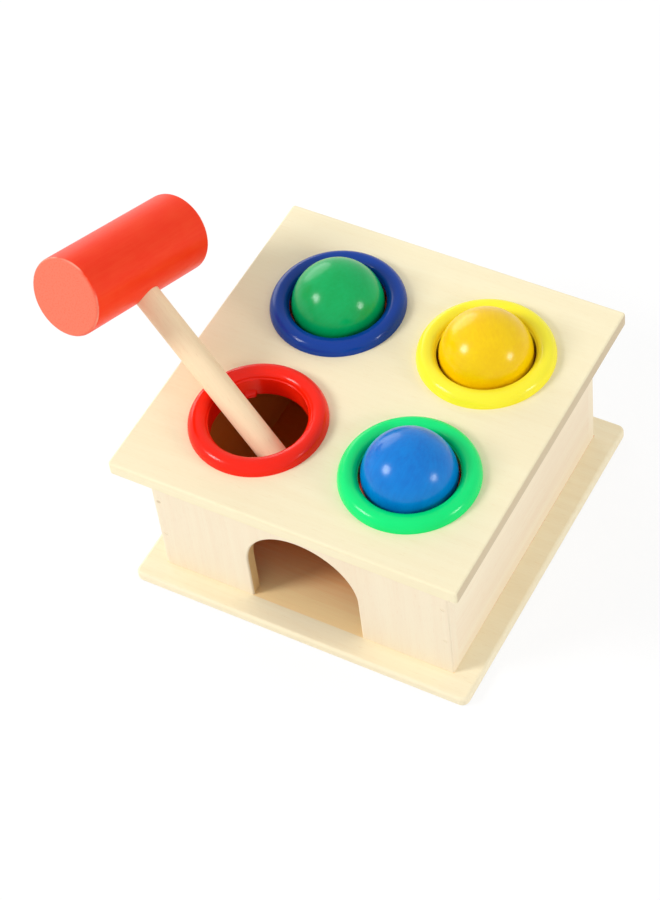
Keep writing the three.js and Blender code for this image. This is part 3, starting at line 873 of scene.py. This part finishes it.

# %% [markdown]
# ### The hammer's head
# Paint soaks into end grain, so the two flat ends are more matt than the side, with a fine stipple of
# pores, and on each rim it has rubbed thin. The ends are paler too: partly the thinner paint, and partly a
# painted sheen of the light that falls on them. The material measures the distance along the head from
# its middle, and past the start of the sanded edge it mixes these tones in.

# %% The painted head
HEAD_BUMP = 0.012 * MM
HEAD_SHINE = {"Specular IOR Level": 0.2}
HEAD_AMOUNT, HEAD_ROUGHNESS, END_ROUGHER = 0.6, 0.36, 1.5
HEAD_PAINT, HEAD_THIN = (0.96, 0.035, 0.003, 1), (0.98, 0.065, 0.013, 1)
# Paler coral of the flat ends: thinner paint on end grain, and a painted sheen of the light on them.
END_PAINT_AND_SHEEN, END_PORES_AND_SHEEN = (0.93, 0.195, 0.115, 1), (0.90, 0.165, 0.09, 1)
RUBBED = (0.97, 0.40, 0.28, 1)
END_START = HAMMER_LENGTH / 2 - 0.9 * MM
END_FULL = HAMMER_LENGTH / 2 - 0.1 * MM
RIM = HAMMER_LENGTH / 2 - 0.5 * HAMMER_EDGE
RIM_HALF = 0.6 * MM
PORE_SCALE, PORE_RANGE = 1100.0, (0.5, 0.68)
PATCH_SCALE, PATCH_RANGE = 90.0, (0.42, 0.62)


def head_finish():
    """Satin paint whose colour goes to the ends' tone, thinner paint with a painted sheen, by the distance
    along the head. The rubbed tone is strongest where that distance is the rim's, and patchy by a noise."""
    made = material("head paint", PAINT, HEAD_AXIS, HEAD_MIDDLE, HEAD_BUMP, HEAD_SHINE,
                    Color=HEAD_PAINT, Thin=HEAD_THIN, Amount=HEAD_AMOUNT, Roughness=HEAD_ROUGHNESS)
    tree, shader, effect, place = inner_nodes(made)
    away = off_middle(tree, place, "X")
    pores = ramp(tree, noise(tree, place, Scale=PORE_SCALE, Detail=2.0), *PORE_RANGE)
    # The ends' tone holds a painted sheen as well as the thinner paint.
    end_tone = blend(tree, pores, END_PAINT_AND_SHEEN, END_PORES_AND_SHEEN)
    painted = blend(tree, ramp(tree, away, END_START, END_FULL), effect["Color"], end_tone)
    nearing = ramp(tree, away, RIM - RIM_HALF, RIM)
    leaving = ramp(tree, away, RIM, RIM + RIM_HALF, 1.0, 0.0)
    patchy = ramp(tree, noise(tree, place, Scale=PATCH_SCALE, Detail=4.0), *PATCH_RANGE)
    rubbed = times(tree, times(tree, nearing, leaving), patchy)
    tree.links.new(blend(tree, rubbed, painted, RUBBED), shader.inputs["Base Color"])
    matt = ramp(tree, away, END_START, END_FULL, 1.0, END_ROUGHER)
    tree.links.new(times(tree, matt, effect["Roughness"]), shader.inputs["Roughness"])
    return made


wear("hammer_head", head_finish())

# %% [markdown]
# ### Sunk brads
# A brad is driven just below the face, and a dab of wood filler levels it. So its shank is bare steel and
# its head shows as a faint tan spot. The dab lies within a millimetre of the wall's face, and the
# material finds it by the distance from the middle of the toy.

# %% Brads under filler
FILLER = (0.89, 0.76, 0.55, 1)
FILLER_DARK = (0.74, 0.60, 0.41, 1)
FILLER_DEPTH = 0.8 * MM
FILLER_FADE = 1.2
STEEL = (0.36, 0.34, 0.31, 1)
STEEL_DARK = (0.22, 0.19, 0.16, 1)
STEEL_BUMP = 0.01 * MM
STEEL_AMOUNT, STEEL_ROUGHNESS = 0.8, 0.5


def brad_finish(name, filler):
    """Steel that goes to filler where the distance from the middle along Y comes near the wall's face. The
    pattern's X runs along Y."""
    made = material(name, PLASTIC, Y_AXIS, NOWHERE, STEEL_BUMP, {},
                    Color=STEEL, Thin=STEEL_DARK, Amount=STEEL_AMOUNT, Roughness=STEEL_ROUGHNESS)
    tree, shader, effect, place = inner_nodes(made)
    away = off_middle(tree, place, "X")
    filled = ramp(tree, away, WALL_FACE - FILLER_FADE * FILLER_DEPTH, WALL_FACE - FILLER_DEPTH)
    tree.links.new(blend(tree, filled, effect["Color"], filler), shader.inputs["Base Color"])
    tree.links.new(ramp(tree, filled, 0.0, 1.0, 1.0, 0.0), shader.inputs["Metallic"])
    return made


matched = brad_finish("brad with matched filler", FILLER)
darker = brad_finish("brad with darker filler", FILLER_DARK)
for node in BRADS:
    wear(node, darker if node.endswith("left_upper") else matched)
print("brads:", len(BRADS))

# %% [markdown]
# ## Floor, light and background
# The photograph is a plain studio picture on white. A soft lamp stands to the front left and makes the
# longer highlights, a smaller one stands low on the right, a wide one far back on the left lights the
# upper rims, and white walls fill in the rest. A lamp's level is what it would make of a white sheet that
# faces it: at 1, full white. The world is white to the camera and in reflections, and dimmer as a lamp.
# The floor does the same, but keeps part of its own shade, so that the toy still stands on something.

# %% Lamps
LAMP_DISTANCE = 4.0
LAMPS = [
    ("left lamp", (-0.60, -0.54, 0.59), 1.3, 0.52),
    ("right lamp", (0.955, 0.03, 0.295), 0.95, 0.27),
    ("back lamp", (-0.82, 0.52, 0.24), 3.0, 0.34),
]
TOY_MIDDLE = (np.array(CAD_BOX[0]) + np.array(CAD_BOX[1])) / 2
for name, direction, width, level in LAMPS:
    toward = Vector(direction).normalized()
    lamp = bpy.data.lights.new(name, "AREA")
    lamp.shape = "DISK"
    lamp.size = width
    lamp.energy = level * (math.pi * LAMP_DISTANCE) ** 2
    holder = bpy.data.objects.new(name, lamp)
    holder.location = Vector(TOY_MIDDLE) + toward * LAMP_DISTANCE
    holder.rotation_euler = toward.to_track_quat("Z", "Y").to_euler()
    bpy.context.scene.collection.objects.link(holder)
    print(name, "gives", round(lamp.energy, 1), "W")

# %% The white world
AMBIENT = 0.62


def seen_directly(tree):
    """1 for rays from the camera, in reflections and through glass, and 0 for light that falls on things."""
    path = add(tree, "LightPath").outputs
    direct = calc(tree, "ADD", path["Is Camera Ray"], path["Is Glossy Ray"], clamp=True)
    return calc(tree, "ADD", direct, path["Is Transmission Ray"], clamp=True)


world = bpy.data.worlds.new("white studio")
tree = bare_tree(world)
sky = add(tree, "Background", Color=WHITE)
tree.links.new(ramp(tree, seen_directly(tree), 0.0, 1.0, AMBIENT, 1.0), sky.inputs["Strength"])
tree.links.new(sky.outputs[0], add(tree, "OutputWorld").inputs["Surface"])
bpy.context.scene.world = world

# %% The paper floor
FLOOR_HALF = 3.0
FLOOR_GLOW = 0.84
FLOOR_SHADE = (0.17, 0.17, 0.17, 1)
FLOOR_PALE = (0.86, 0.86, 0.86, 1)
sheet = np.array([[[-1, -1, 0], [1, -1, 0]], [[-1, 1, 0], [1, 1, 0]]], float) * FLOOR_HALF
floor_mesh = bpy.data.meshes.new("floor")
floor_mesh.from_pydata(sheet.reshape(-1, 3).tolist(), [], [[0, 1, 3, 2]])
floor = bpy.data.objects.new("floor", floor_mesh)
bpy.context.scene.collection.objects.link(floor)
paper = bpy.data.materials.new("white paper")
tree = bare_tree(paper)
lit = add(tree, "BsdfDiffuse", Color=FLOOR_PALE)
seen = add(tree, "BsdfDiffuse", Color=FLOOR_SHADE)
glow = add(tree, "Emission", Color=WHITE, Strength=FLOOR_GLOW)
shown = add(tree, "AddShader")
either = add(tree, "MixShader")
tree.links.new(seen.outputs[0], shown.inputs[0])
tree.links.new(glow.outputs[0], shown.inputs[1])
tree.links.new(seen_directly(tree), either.inputs["Fac"])
tree.links.new(lit.outputs[0], either.inputs[1])
tree.links.new(shown.outputs[0], either.inputs[2])
tree.links.new(either.outputs[0], add(tree, "OutputMaterial").inputs["Surface"])
floor_mesh.materials.append(paper)
bpy.context.scene.view_settings.view_transform = "Standard"
